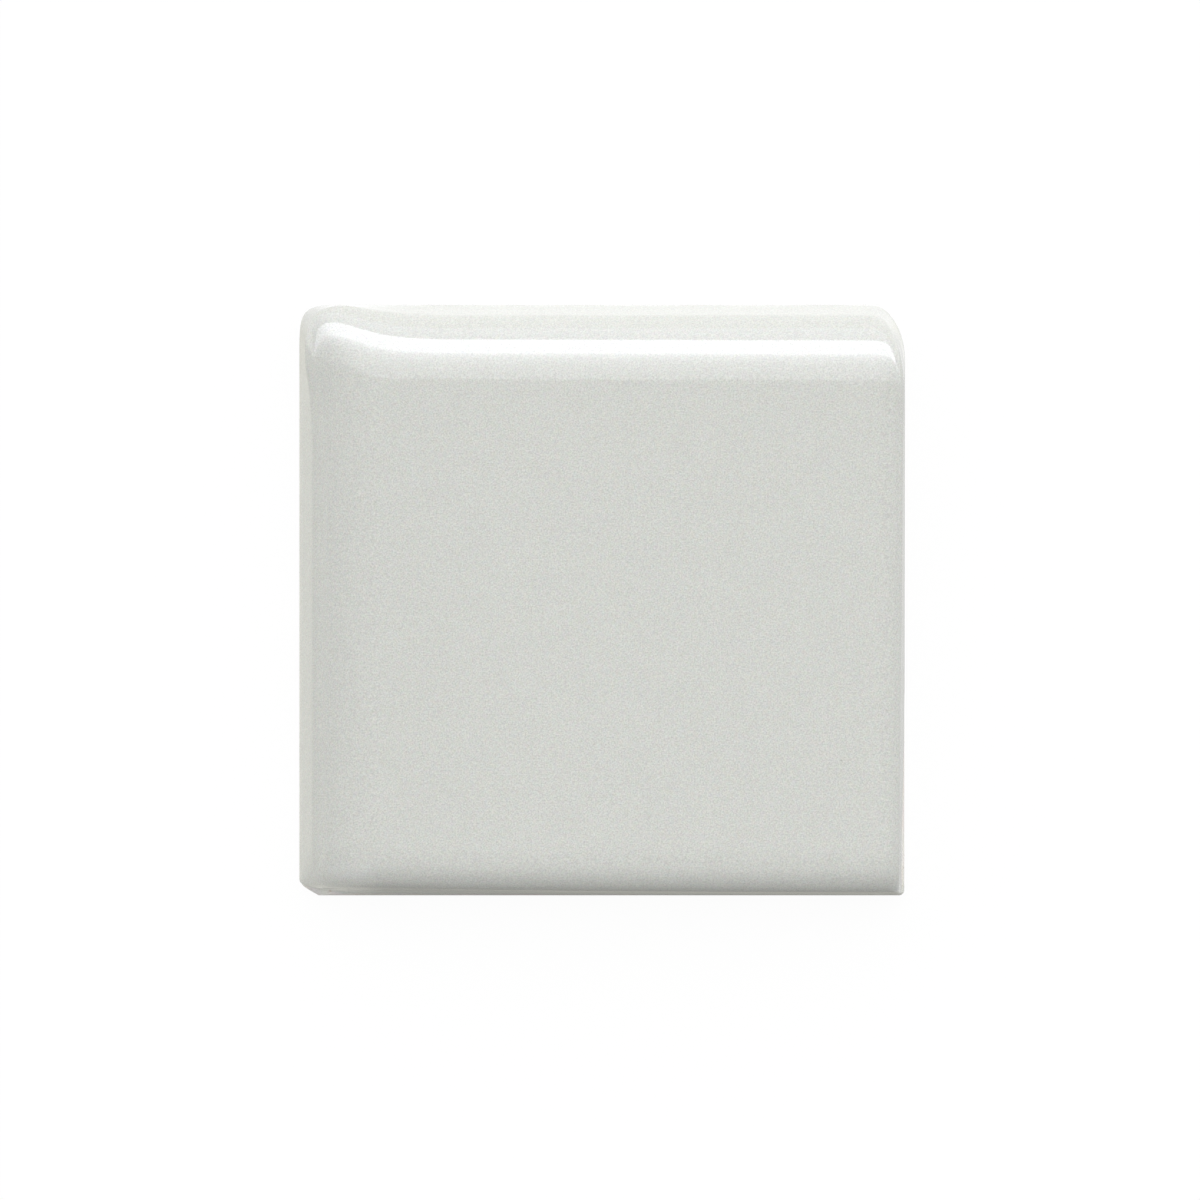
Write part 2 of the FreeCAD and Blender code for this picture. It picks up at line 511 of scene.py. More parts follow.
    def _whole_ring(
        self, stretches: dict[Side, list[Point]], swing_ends: tuple[Point, Point]
    ) -> list[Point]:
        """Ring of an outline from its curved stretches, with plain sides between them.

        The sides are straight, apart from the south one where its west end lies further in: it bows then.

        Args:
            stretches: Points of the curved stretches. Those between plain sides have their last point too.
            swing_ends: Where the north side starts to swing and the west side stops.

        Returns:
            The points, anticlockwise.
        """
        spans = {
            Side.NORTH: (stretches[Side.NORTH_END][-1], swing_ends[0]),
            Side.WEST: (swing_ends[1], stretches[Side.WEST_END][0]),
            Side.EAST: (stretches[Side.PLAIN_CORNER][-1], stretches[Side.NORTH_END][0]),
        }
        start, end = stretches[Side.WEST_END][-1], stretches[Side.PLAIN_CORNER][0]
        bow = rounded(start, ((start[0] + end[0]) / 2, end[1]), end, BOW_FULLNESS)
        curved = {**stretches, Side.SOUTH: along(bow, STEPS[Side.SOUTH])}
        points: list[Point] = []
        for side in Side:
            count = STEPS[side]
            if side in spans:
                points += [between(*spans[side], step / count) for step in range(count)]
            else:
                points += curved[side][:count]
        return points

    def pressed_ring(self, drop: float) -> list[Point]:
        """Ring of the pressed face, from the face's edge to the break line.

        Args:
            drop: Drop of the ring below the face.

        Returns:
            The points, anticlockwise.
        """
        run = self.north_nose.run(drop)
        north = self.depth / 2 - self.north_nose.inset + run
        west = self.west_nose.inset - run - self.width / 2
        south = self.south_ease.inset - self.south_ease.run(drop) - self.depth / 2
        east = self.width / 2 - self.east_ease.inset + self.east_ease.run(drop)
        turned = run / self.north_nose.full_run
        corner_x = west - self.west_swing * turned**self.west_swing_power
        corner_y = north + self.north_swing * turned**self.north_swing_power
        along_north, along_west = between(self.face_corner, self.break_corner, turned)
        corner = rounded(
            (corner_x + along_north, corner_y),
            (corner_x, corner_y),
            (corner_x, corner_y - along_west),
            self.corner_fullness,
        )
        swing_ends = self._swing_ends(north, west)
        stretches = self._swings(swing_ends, corner)
        bowed, leaned = south + self.south_bow, east - self.east_lean
        lowered = north - self.north_lean * (1 - turned**self.north_lean_power)
        west_end = self._added_corner(drop, self.west_nose, self.south_ease, Side.WEST_END)
        plain = self._added_corner(drop, self.south_ease, self.east_ease, Side.PLAIN_CORNER)
        stretches[Side.WEST_END] = [(west + a, bowed + b) for a, b in west_end]
        stretches[Side.PLAIN_CORNER] = [(leaned - b, south + a) for a, b in plain]
        stretches[Side.NORTH_END] = [(east - a, lowered - b) for a, b in self._north_end(drop)]
        return self._whole_ring(stretches, swing_ends)

    def _north_end(self, drop: float) -> list[Point]:
        """Corner where the north nose ends, rounder the further down it is.

        Args:
            drop: Drop of the level below the face.

        Returns:
            Distances in from the east line and the north one, from one to the other.
        """
        added = self._added_corner(drop, self.east_ease, self.north_nose, Side.NORTH_END)
        start = self.north_end_round_from
        share = max(0.0, (drop - start) / (self.north_nose.full_drop - start)) ** self.north_end_round_power
        round_end = rounded(
            (0.0, self.north_end_along_side), (0.0, 0.0), (self.north_end_along_nose, 0.0), ROUND_FULLNESS
        )
        count = STEPS[Side.NORTH_END]
        return [between(point, bezier(round_end, i / count), share) for i, point in enumerate(added)]

    def foot_ring(self, inset: float) -> list[Point]:
        """Ring of the foot.

        Args:
            inset: How far the ring is drawn in on every side.

        Returns:
            The points, anticlockwise.
        """
        west, east = inset - self.width / 2, self.width / 2 - inset
        south, north = inset - self.depth / 2, self.depth / 2 - inset
        swing_ends = self._swing_ends(north, west)
        corner = rounded(
            (west + self.foot_corner[0] - inset, north),
            (west, north),
            (west, north - self.foot_corner[1] + inset),
            self.foot_corner_fullness,
        )
        stretches = self._swings(swing_ends, corner)
        curves = {
            Side.WEST_END: rounded(
                (west, south + self.west_end_along_nose - inset),
                (west, south + self.west_end_rise),
                (west + self.west_end_along_side - inset, south),
                self.west_end_fullness,
            ),
            Side.PLAIN_CORNER: rounded(
                (east - self.plain_corner, south),
                (east, south),
                (east, south + self.plain_corner),
                ROUND_FULLNESS,
            ),
            Side.NORTH_END: rounded(
                (east, north - self.north_end_along_side + inset),
                (east, north),
                (east - self.north_end_along_nose + inset, north),
                ROUND_FULLNESS,
            ),
        }
        for side, curve in curves.items():
            stretches[side] = [*along(curve, STEPS[side]), curve[-1]]
        return self._whole_ring(stretches, swing_ends)

    def drops(self) -> list[float]:
        """Drops of the pressed rings below the face.

        Returns:
            The drops, from the face's edge down to the break line.
        """
        ease = self.south_ease
        arc = ease.end - ease.lead
        turns = [ease.lead * i / self.lead_rings for i in range(self.lead_rings)]
        turns += [ease.lead + arc * i / self.ease_rings for i in range(self.ease_rings + 1)]
        drops = [ease.drop_at(turn) for turn in turns]
        rest = self.north_nose.full_drop - drops[-1]
        return drops + [drops[-1] + rest * i / self.nose_rings for i in range(1, self.nose_rings + 1)]

    def glaze_lines(self) -> list[float]:
        """Heights of the glaze's lower edge, which wavers a little.

        Returns:
            A height for each point of a ring.
        """
        rolled, south = self.glaze_rolled, self.glaze_south
        high, low = self.glaze_east_high, self.glaze_east_low
        spans = dict.fromkeys(Side, (rolled, rolled))
        spans[Side.WEST_END] = (rolled, south)
        spans[Side.SOUTH] = (south, south)
        spans[Side.PLAIN_CORNER] = (south, high)
        spans[Side.EAST] = (high, low)
        spans[Side.NORTH_END] = (low, rolled)
        heights: list[float] = []
        for side, (start, end) in spans.items():
            count = STEPS[side]
            stop = self.glaze_east_climb if side is Side.EAST else 1.0
            heights += [start + (end - start) * smooth_step(0, stop, i / count) for i in range(count)]
        lines = []
        for height, (x, y) in zip(heights, self.foot_ring(0.0)):
            place = Vector((x * self.waver_scale, y * self.waver_scale, self.waver_seed))
            lines.append(height + self.glaze_waver * noise.noise(place))
        return lines

    def side_rings(self) -> list[Ring]:
        """Rings from below the break line to the back's arris.

        Returns:
            Each ring, with the surface above it.
        """
        drop = self.north_nose.full_drop
        top = self.thickness - drop
        flank = Flank(top, self.foot_height, self.pressed_ring(drop), self.foot_ring(0.0))
        lines = self.glaze_lines()
        rings: list[Ring] = []
        for step in range(1, self.flank_rings + 1):
            share = (step / self.flank_rings) ** self.flank_ring_power
            heights = [top + (line + self.lip_top - top) * share for line in lines]
            rings.append((flank.ring(heights, 0.0), Surface.GLAZE))
        for rise, offset in self.glaze_lip:
            rings.append((flank.ring([line + rise for line in lines], offset), Surface.GLAZE))
        starts = [line - self.clay_drop for line in lines]
        for step in range(self.foot_rings + 1):
            share = step / self.foot_rings
            heights = [start + (self.back_chamfer - start) * share for start in starts]
            rings.append((flank.ring(heights, -self.clay_inset), Surface.CLAY))
        arris = self.foot_ring(self.back_chamfer)
        rings.append(([Vector((x, y, 0.0)) for x, y in arris], Surface.CLAY))
        return rings

    def skin(self) -> bmesh.types.BMesh:
        """Skin of the tile, from the middle of the face to the back's arris.

        Returns:
            A shape that is open at the back.
        """
        edge = self.pressed_ring(0.0)
        rings: list[Ring] = []
        for scale in self.face_scales:
            points = [Vector((x * scale, y * scale, self.thickness)) for x, y in edge]
            rings.append((points, Surface.GLAZE))
        for drop in self.drops():
            points = [Vector((x, y, self.thickness - drop)) for x, y in self.pressed_ring(drop)]
            rings.append((points, Surface.GLAZE))
        rings += self.side_rings()
        shape = bmesh.new()
        dust = shape.verts.layers.float.new(DUST)
        rows = [([shape.verts.new(p * MM) for p in points], surface) for points, surface in rings]
        first_clay = next(row for row, surface in rows if surface is Surface.CLAY)
        for vert in first_clay:
            vert[dust] = 1.0
        middle = shape.verts.new(Vector((0, 0, self.thickness)) * MM)
        first = rows[0][0]
        for i, vert in enumerate(first):
            shape.faces.new((middle, vert, first[(i + 1) % len(first)]))
        for (upper, _), (lower, surface) in zip(rows, rows[1:]):
            for face in band(shape, upper, lower):
                face.material_index = surface.value
        return shape

    def build(self, keyed: bpy.types.Mesh, materials: Sequence[bpy.types.Material]) -> bpy.types.Object:
        """Joins the skin to the keyed back as one closed mesh, and dresses it.

        Args:
            keyed: Mesh of the pockets and ribs.
            materials: The materials, in the order of Surface.

        Returns:
            The finished tile.
        """
        shape = self.skin()
        glazed = len(shape.faces)
        shape.from_mesh(keyed)
        shape.faces.ensure_lookup_table()
        bare = shape.faces[glazed:]
        bare += fill_level(shape, [edge for edge in shape.edges if edge.is_boundary], -1)
        for face in bare:
            face.material_index = Surface.CLAY.value
        for face in shape.faces:
            face.smooth = True
        mesh = as_mesh("tile", shape)
        mesh.set_sharp_from_angle(angle=math.radians(self.sharp_angle))
        for material in materials:
            mesh.materials.append(material)
        return placed("tile", mesh)


@dataclass
class KeyedBack:
    """The keyed back: drafted pockets in rows, with ribs between them and a border round them.

    Lengths are in millimetres.
    """

    width: float
    depth: float
    pockets_per_row: int = 4
    border: float = 5.0
    rib_width: float = 2.2
    pocket_depth: float = 0.7
    pocket_draft: float = 30.0
    pocket_corner: float = 1.0
    least_corner: float = 0.2
    rim_round: float = 0.18
    # Steps of the roundings at the mouth and at the floor, inwards and up, in shares of rim_round.
    mouth_steps: tuple[Point, ...] = ((-1.0, 0.0), (-0.35, 0.12))
    floor_steps: tuple[Point, ...] = ((0.25, -0.2), (1.0, 0.0))
    wall_start: float = 0.6
    middle_inset: float = 0.5
    corner_steps: int = 6
    side_steps: int = 4
    weld: float = 0.005

    @property
    def pitch(self) -> Point:
        """Distance from pocket to pocket, along X and Y."""
        spare = self.rib_width - 2 * self.border
        return (self.width + spare) / self.pockets_per_row, (self.depth + spare) / self.pockets_per_row

    def _pocket_ring(self, half_x: float, half_y: float, radius: float) -> list[Point]:
        """Rounded rectangle about the origin.

        Args:
            half_x: Half its width.
            half_y: Half its depth.
            radius: Radius of its corners.

        Returns:
            The points, anticlockwise from where the north-east corner starts.
        """
        arcs: list[list[Point]] = []
        for index, (sign_x, sign_y) in enumerate(QUARTERS):
            x, y = sign_x * (half_x - radius), sign_y * (half_y - radius)
            arc = []
            for step in range(self.corner_steps + 1):
                angle = math.pi / 2 * (index + step / self.corner_steps)
                arc.append((x + radius * math.cos(angle), y + radius * math.sin(angle)))
            arcs.append(arc)
        points: list[Point] = []
        for arc, following in zip(arcs, arcs[1:] + arcs[:1]):
            steps = range(1, self.side_steps)
            points += arc
            points += [between(arc[-1], following[0], step / self.side_steps) for step in steps]
        return points

    def _cell_edge(self, half_x: float, half_y: float, mouth: list[Point]) -> list[Point]:
        """Straight border of a cell.

        Args:
            half_x: Half the cell's width.
            half_y: Half its depth.
            mouth: Points of the pocket's mouth.

        Returns:
            A point on the border for each point of the mouth, facing it.
        """
        points: list[Point] = []
        half = self.corner_steps / 2
        for index, (x, y) in enumerate(mouth):
            quarter, step = divmod(index, self.corner_steps + self.side_steps)
            sign_x, sign_y = QUARTERS[quarter]
            even = quarter % 2 == 0
            lag = abs(step - half) / half * self.pocket_corner
            if step > self.corner_steps:
                points.append((x, sign_y * half_y) if even else (sign_x * half_x, y))
            elif (step < half) == even:
                points.append((sign_x * half_x, sign_y * (half_y - lag)))
            else:
                points.append((sign_x * (half_x - lag), sign_y * half_y))
        return points

    def cell(self) -> bpy.types.Object:
        """One pocket with its share of the ribs round it, facing down.

        Returns:
            An object that the grid repeats. It isn't shown.
        """
        pitch_x, pitch_y = self.pitch
        half_x, half_y = (pitch_x - self.rib_width) / 2, (pitch_y - self.rib_width) / 2
        lean = math.tan(math.radians(self.pocket_draft))
        rim, top = self.rim_round, self.pocket_depth
        profile = [(inward * rim, up * rim) for inward, up in self.mouth_steps]
        profile += [(lean * rise, rise) for rise in (self.wall_start * rim, top - rim)]
        profile += [(lean * top + inward * rim, top + up * rim) for inward, up in self.floor_steps]
        profile.append((half_x * self.middle_inset, top))
        mouth = self._pocket_ring(half_x + rim, half_y + rim, self.pocket_corner + rim)
        rings = [[Vector((x, y, 0.0)) for x, y in self._cell_edge(pitch_x / 2, pitch_y / 2, mouth)]]
        for inset, rise in profile:
            radius = max(self.least_corner, self.pocket_corner - inset)
            points = self._pocket_ring(half_x - inset, half_y - inset, radius)
            rings.append([Vector((x, y, rise)) for x, y in points])
        shape = bmesh.new()
        rows = [[shape.verts.new(p * MM) for p in points] for points in rings]
        for outer, inner in zip(rows, rows[1:]):
            band(shape, outer, inner)
        middle = shape.verts.new(Vector((0, 0, top)) * MM)
        last = rows[-1]
        for i, vert in enumerate(last):
            shape.faces.new((vert, middle, last[(i + 1) % len(last)]))
        return bpy.data.objects.new("pocket_cell", as_mesh("pocket_cell", shape))

    def node_tree(self) -> bpy.types.NodeTree:
        """Geometry tree that repeats a pocket cell over a grid and welds the ribs together.

        Returns:
            The tree.
        """
        tree = bpy.data.node_groups.new("keyed_back", "GeometryNodeTree")
        tree.interface.new_socket("Geometry", in_out="OUTPUT", socket_type="NodeSocketGeometry")
        kinds = {
            "Cell": "NodeSocketObject",
            "Count": "NodeSocketInt",
            "Span X": "NodeSocketFloat",
            "Span Y": "NodeSocketFloat",
            "Weld": "NodeSocketFloat",
            "Clay": "NodeSocketMaterial",
        }
        for name, kind in kinds.items():
            tree.interface.new_socket(name, in_out="INPUT", socket_type=kind)
        given = tree.nodes.new("NodeGroupInput")
        grid = tree.nodes.new("GeometryNodeMeshGrid")
        cell = tree.nodes.new("GeometryNodeObjectInfo")
        cell.inputs["As Instance"].default_value = True
        spread = tree.nodes.new("GeometryNodeInstanceOnPoints")
        real = tree.nodes.new("GeometryNodeRealizeInstances")
        weld = tree.nodes.new("GeometryNodeMergeByDistance")
        dress = tree.nodes.new("GeometryNodeSetMaterial")
        result = tree.nodes.new("NodeGroupOutput")
        wires = (
            (given, "Span X", grid, "Size X"),
            (given, "Span Y", grid, "Size Y"),
            (given, "Count", grid, "Vertices X"),
            (given, "Count", grid, "Vertices Y"),
            (given, "Cell", cell, "Object"),
            (grid, "Mesh", spread, "Points"),
            (cell, "Geometry", spread, "Instance"),
            (spread, "Instances", real, "Geometry"),
            (real, "Geometry", weld, "Geometry"),
            (given, "Weld", weld, "Distance"),
            (weld, "Geometry", dress, "Geometry"),
            (given, "Clay", dress, "Material"),
            (dress, "Geometry", result, "Geometry"),
        )
        for start, output, end, socket in wires:
            tree.links.new(start.outputs[output], end.inputs[socket])
        return tree

    def build(self, clay: bpy.types.Material) -> bpy.types.Mesh:
        """Mesh of all the pockets and ribs.

        Args:
            clay: Material of the bare back.

        Returns:
            A plain mesh, open round its border.
        """
        cell = self.cell()
        carrier = placed("keyed_back", bpy.data.meshes.new("keyed_back"))
        tree = self.node_tree()
        modifier = carrier.modifiers.new("pockets", "NODES")
        modifier.node_group = tree
        gaps = self.pockets_per_row - 1
        pitch_x, pitch_y = self.pitch
        values = {
            "Cell": cell,
            "Count": self.pockets_per_row,
            "Span X": pitch_x * gaps * MM,
            "Span Y": pitch_y * gaps * MM,
            "Weld": self.weld * MM,
            "Clay": clay,
        }
        for item in tree.interface.items_tree:
            if item.in_out == "INPUT":
                modifier[item.identifier] = values[item.name]
        carrier.update_tag()
        bpy.context.view_layer.update()
        graph = bpy.context.evaluated_depsgraph_get()
        mesh = bpy.data.meshes.new_from_object(carrier.evaluated_get(graph))
        bpy.data.objects.remove(carrier)
        bpy.data.objects.remove(cell)
        return mesh


class Wiring:
    """Short ways to add nodes to a shader tree and wire them together."""

    def __init__(self, tree: bpy.types.NodeTree) -> None:
        """Takes the tree to add to."""
        self.tree = tree

    def put(self, value: Feed, socket: bpy.types.NodeSocket) -> None:
        """Feeds an input.

        Args:
            value: An output to wire it to, or a plain value.
            socket: The input.
        """
        if isinstance(value, bpy.types.NodeSocket):
            self.tree.links.new(value, socket)
        else:
            socket.default_value = value

    def node(
        self, kind: str, inputs: dict[str | int, Feed] | None = None, **settings: object
    ) -> bpy.types.Node:
        """Adds a node.

        Args:
            kind: The node's type.
            inputs: What feeds its inputs, by name or number.
            settings: Its own settings.

        Returns:
            The node.
        """
        made = self.tree.nodes.new(kind)
        for name, value in settings.items():
            setattr(made, name, value)
        for key, value in (inputs or {}).items():
            self.put(value, made.inputs[key])
        return made

    def place(self, space: str = "Object") -> bpy.types.NodeSocket:
        """Place on the surface in the object's own space, or in another that is named."""
        return self.node("ShaderNodeTexCoord").outputs[space]

    def split(self, vector: Feed) -> bpy.types.NodeOutputs:
        """The three parts of a vector."""
        return self.node("ShaderNodeSeparateXYZ", {0: vector}).outputs

    def math(self, operation: str, *values: Feed) -> bpy.types.NodeSocket:
        """Result of an operation on one to three numbers."""
        return self.node("ShaderNodeMath", dict(enumerate(values)), operation=operation).outputs[0]

    def vector(self, operation: str, first: Feed, second: Feed) -> bpy.types.NodeSocket:
        """Result of an operation on two vectors."""
        return self.node("ShaderNodeVectorMath", {0: first, 1: second}, operation=operation).outputs[0]

    def scaled(self, vector: Feed, factor: Feed) -> bpy.types.NodeSocket:
        """Multiplies a vector by a number."""
        return self.node("ShaderNodeVectorMath", {0: vector, "Scale": factor}, operation="SCALE").outputs[0]

    def pick(self, test: Feed, if_not: Feed, if_so: Feed) -> bpy.types.NodeSocket:
        """Blends from one value to another as the test goes from 0 to 1."""
        return self.node("ShaderNodeMix", {0: test, 2: if_not, 3: if_so}).outputs[0]

    def tint(self, test: Feed, if_not: Feed, if_so: Feed) -> bpy.types.NodeSocket:
        """Blends from one colour to another as the test goes from 0 to 1."""
        return self.node("ShaderNodeMix", {0: test, 6: if_not, 7: if_so}, data_type="RGBA").outputs[2]

    def blend(self, test: Feed, if_not: Feed, if_so: Feed) -> bpy.types.NodeSocket:
        """Blends from one shader to another as the test goes from 0 to 1."""
        return self.node("ShaderNodeMixShader", {0: test, 1: if_not, 2: if_so}).outputs[0]

    def ease(
        self, value: Feed, low: float, high: float, first: float = 0.0, last: float = 1.0
    ) -> bpy.types.NodeSocket:
        """Goes smoothly from first to last as the value goes from low to high."""
        spans = {"Value": value, "From Min": low, "From Max": high, "To Min": first, "To Max": last}
        return self.node("ShaderNodeMapRange", spans, interpolation_type="SMOOTHSTEP").outputs[0]

    def group(self, tree: bpy.types.NodeTree, inputs: dict[str, Feed]) -> bpy.types.NodeSocket:
        """Adds a node group and gives its one output."""
        return self.node("ShaderNodeGroup", inputs, node_tree=tree).outputs[0]

    def ramp(self, value: Feed, stops: Sequence[Point]) -> bpy.types.NodeSocket:
        """Grey level that runs straight from stop to stop.

        Args:
            value: What the level depends on.
            stops: Values from 0 to 1, each with its level.

        Returns:
            The level.
        """
        made = self.node("ShaderNodeValToRGB", {"Fac": value})
        elements = made.color_ramp.elements
        while len(elements) < len(stops):
            elements.new(1.0)
        for element, (place, level) in zip(elements, stops):
            element.position = place
            element.color = opaque((level, level, level))
        return made.outputs["Color"]


class FiredEffects:
    """Shader node groups that both the glaze and the clay use."""

    def __init__(self) -> None:
        """Builds the groups."""
        self.mottle = self._mottle()
        self.relief = self._relief()

    def _group(self, name: str, inputs: Sequence[str]) -> tuple[Wiring, dict[str, Feed]]:
        """Starts a group with number inputs.

        Args:
            name: The group's name.
            inputs: Names of its inputs.

        Returns:
            The group's wiring and its inputs' sockets by name.
        """
        tree = bpy.data.node_groups.new(name, "ShaderNodeTree")
        for label in inputs:
            tree.interface.new_socket(label, in_out="INPUT", socket_type="NodeSocketFloat")
        wires = Wiring(tree)
        return wires, dict(wires.node("NodeGroupInput").outputs.items())

    def _give(self, wires: Wiring, name: str, kind: str, value: Feed) -> bpy.types.NodeTree:
        """Ends a group with its one output.

        Args:
            wires: The group's wiring.
            name: Name of the output.
            kind: Socket type of the output.
            value: What it gives.

        Returns:
            The group.
        """
        wires.tree.interface.new_socket(name, in_out="OUTPUT", socket_type=kind)
        wires.node("NodeGroupOutput", {name: value})
        return wires.tree

    def _noise(self, wires: Wiring, size: Feed, detail: float) -> bpy.types.Node:
        """Noise in the object's own space.

        Args:
            wires: Where the nodes go.
            size: About how large its patches are.
            detail: How many finer layers it has.

        Returns:
            The noise's node.
        """
        scale = wires.math("DIVIDE", 1.0, size)
        return wires.node(
            "ShaderNodeTexNoise", {"Vector": wires.place(), "Scale": scale, "Detail": detail}
        )

    def _mottle(self) -> bpy.types.NodeTree:
        """Fine grain, slow clouds and a trace of colour.

        Returns:
            A group whose output multiplies a base colour.
        """
        names = ("Grain Size", "Grain Depth", "Cloud Size", "Cloud Depth", "Tint Size", "Tint Depth")
        wires, given = self._group("fired_mottle", names)
        tone: Feed = 1.0
        for label in ("Grain", "Cloud"):
            patch = self._noise(wires, given[f"{label} Size"], detail=1.0).outputs["Fac"]
            lift = wires.math("SUBTRACT", patch, NOISE_MIDDLE)
            tone = wires.math("MULTIPLY_ADD", lift, given[f"{label} Depth"], tone)
        tint = self._noise(wires, given["Tint Size"], detail=0.0).outputs["Color"]
        lift = wires.vector("SUBTRACT", tint, (NOISE_MIDDLE, NOISE_MIDDLE, NOISE_MIDDLE))
        whole = wires.vector("ADD", wires.scaled(lift, given["Tint Depth"]), tone)
        return self._give(wires, "Tone", "NodeSocketColor", whole)

    def _relief(self) -> bpy.types.NodeTree:
        """Slow waves and fine pits.

        Returns:
            A group whose output is the surface's height, from 0 to 1.
        """
        wires, given = self._group("fired_relief", ("Wave Size", "Pit Size", "Pit Share"))
        wave = self._noise(wires, given["Wave Size"], detail=0.0).outputs["Fac"]
        pit = self._noise(wires, given["Pit Size"], detail=2.0).outputs["Fac"]
        height = wires.pick(given["Pit Share"], wave, pit)
        return self._give(wires, "Height", "NodeSocketFloat", height)


@dataclass(frozen=True)
class FiredFinish:
    """What the glaze and the clay have in common. Lengths are in millimetres."""

    name: str
    colour: Colour
    roughness: float
    grain_size: float
    grain_depth: float
    cloud_size: float
    cloud_depth: float
    tint_size: float
    tint_depth: float
    wave_size: float
    pit_size: float
    pit_share: float
    relief_depth: float

    def body(self, wires: Wiring) -> Feed:
        """Colour of the surface before it is mottled."""
        return self.colour

    def material(self, effects: FiredEffects) -> bpy.types.Material:
        """Builds the material.

        Args:
            effects: The shared node groups.

        Returns:
            The material.
        """
        made = bpy.data.materials.new(self.name)
        made.use_nodes = True
        wires = Wiring(made.node_tree)
        shader = made.node_tree.nodes["Principled BSDF"]
        mottle = wires.group(effects.mottle, {
            "Grain Size": self.grain_size * MM,
            "Grain Depth": self.grain_depth,
            "Cloud Size": self.cloud_size * MM,
            "Cloud Depth": self.cloud_depth,
            "Tint Size": self.tint_size * MM,
            "Tint Depth": self.tint_depth,
        })
        wires.put(wires.vector("MULTIPLY", mottle, self.body(wires)), shader.inputs["Base Color"])
        shader.inputs["Roughness"].default_value = self.roughness
        relief = wires.group(effects.relief, {
            "Wave Size": self.wave_size * MM,
            "Pit Size": self.pit_size * MM,
            "Pit Share": self.pit_share,
        })
        bump = wires.node("ShaderNodeBump", {"Height": relief, "Distance": self.relief_depth * MM})
        wires.put(bump.outputs["Normal"], shader.inputs["Normal"])
        return made


@dataclass(frozen=True)
class GlazeFinish(FiredFinish):
    """Light grey gloss glaze. Lengths are in millimetres."""

    name: str = "grey_glaze"
    colour: Colour = (0.668, 0.679, 0.642)
    roughness: float = 0.07
    grain_size: float = 0.12
    grain_depth: float = 0.61
    cloud_size: float = 2.5
    cloud_depth: float = 0.035
    tint_size: float = 0.3
    tint_depth: float = 0.08
    wave_size: float = 1.6
    pit_size: float = 0.12
    pit_share: float = 0.0
    relief_depth: float = 0.0012
    # Painted shade: these darken the glaze's colour in bands towards its west, south and east edges.
    west_painted_shade: float = 0.982
    west_band: Point = (-18.0, -6.0)
    south_painted_shade: float = 0.97
    south_band: Point = (-22.5, -20.0)
    east_painted_shade: float = 0.972
    east_band: Point = (22.8, 24.2)
    speck: Point = (20.0, -13.4)
    speck_radius: float = 0.11
    speck_core: float = 0.4
    speck_tone: float = 0.72

    def body(self, wires: Wiring) -> Feed:
        """Colour of the glaze, with painted shade that darkens it towards its west, south and east edges,
        and a tiny iron speck.

        Args:
            wires: Where the nodes go.

        Returns:
            The colour.
        """
        sized = wires.scaled(wires.place(), 1 / MM)
        east, north, _ = wires.split(sized)
        flat = wires.vector("MULTIPLY", sized, (1, 1, 0))
        gap = wires.node("ShaderNodeVectorMath", {0: flat, 1: (*self.speck, 0)}, operation="DISTANCE")
        core = self.speck_core * self.speck_radius
        shade = wires.ease(gap.outputs["Value"], core, self.speck_radius, self.speck_tone, 1.0)
        # Painted shade: each band darkens the colour towards the west, south or east edge.
        for place, span, first, last in (
            (east, self.west_band, self.west_painted_shade, 1.0),
            (north, self.south_band, self.south_painted_shade, 1.0),
            (east, self.east_band, 1.0, self.east_painted_shade),
        ):
            shade = wires.math("MULTIPLY", shade, wires.ease(place, *span, first, last))
        return wires.scaled(self.colour, shade)


@dataclass(frozen=True)
class ClayFinish(FiredFinish):
    """Bare fired clay of the back and the foot, with a breath of glaze dust. Lengths are in millimetres."""

    name: str = "fired_clay"
    colour: Colour = (0.88, 0.85, 0.80)
    roughness: float = 0.85
    grain_size: float = 0.16
    grain_depth: float = 0.45
    cloud_size: float = 6.0
    cloud_depth: float = 0.22
    tint_size: float = 1.4
    tint_depth: float = 0.12
    wave_size: float = 1.1
    pit_size: float = 0.22
    pit_share: float = 0.7
    relief_depth: float = 0.03
    dust_colour: Colour = (0.66, 0.67, 0.63)
    fleck_colour: Colour = (0.50, 0.41, 0.32)
    fleck_pitch: float = 1.3
    # Where a fleck ends, in shares of the pitch: from its core to its rim.
    fleck_edge: Point = (0.06, 0.11)

    def body(self, wires: Wiring) -> Feed:
        """Colour of the clay, with glaze dust below the glaze's edge and dark flecks.

        Args:
            wires: Where the nodes go.

        Returns:
            The colour.
        """
        pitch = self.fleck_pitch * MM
        cells = wires.node("ShaderNodeTexVoronoi", {"Vector": wires.place(), "Scale": 1 / pitch})
        fleck = wires.ease(cells.outputs["Distance"], *self.fleck_edge, 1.0, 0.0)
        dust = wires.node("ShaderNodeAttribute", attribute_name=DUST).outputs["Fac"]
        dusted = wires.tint(dust, opaque(self.colour), opaque(self.dust_colour))
        return wires.tint(fleck, dusted, opaque(self.fleck_colour))


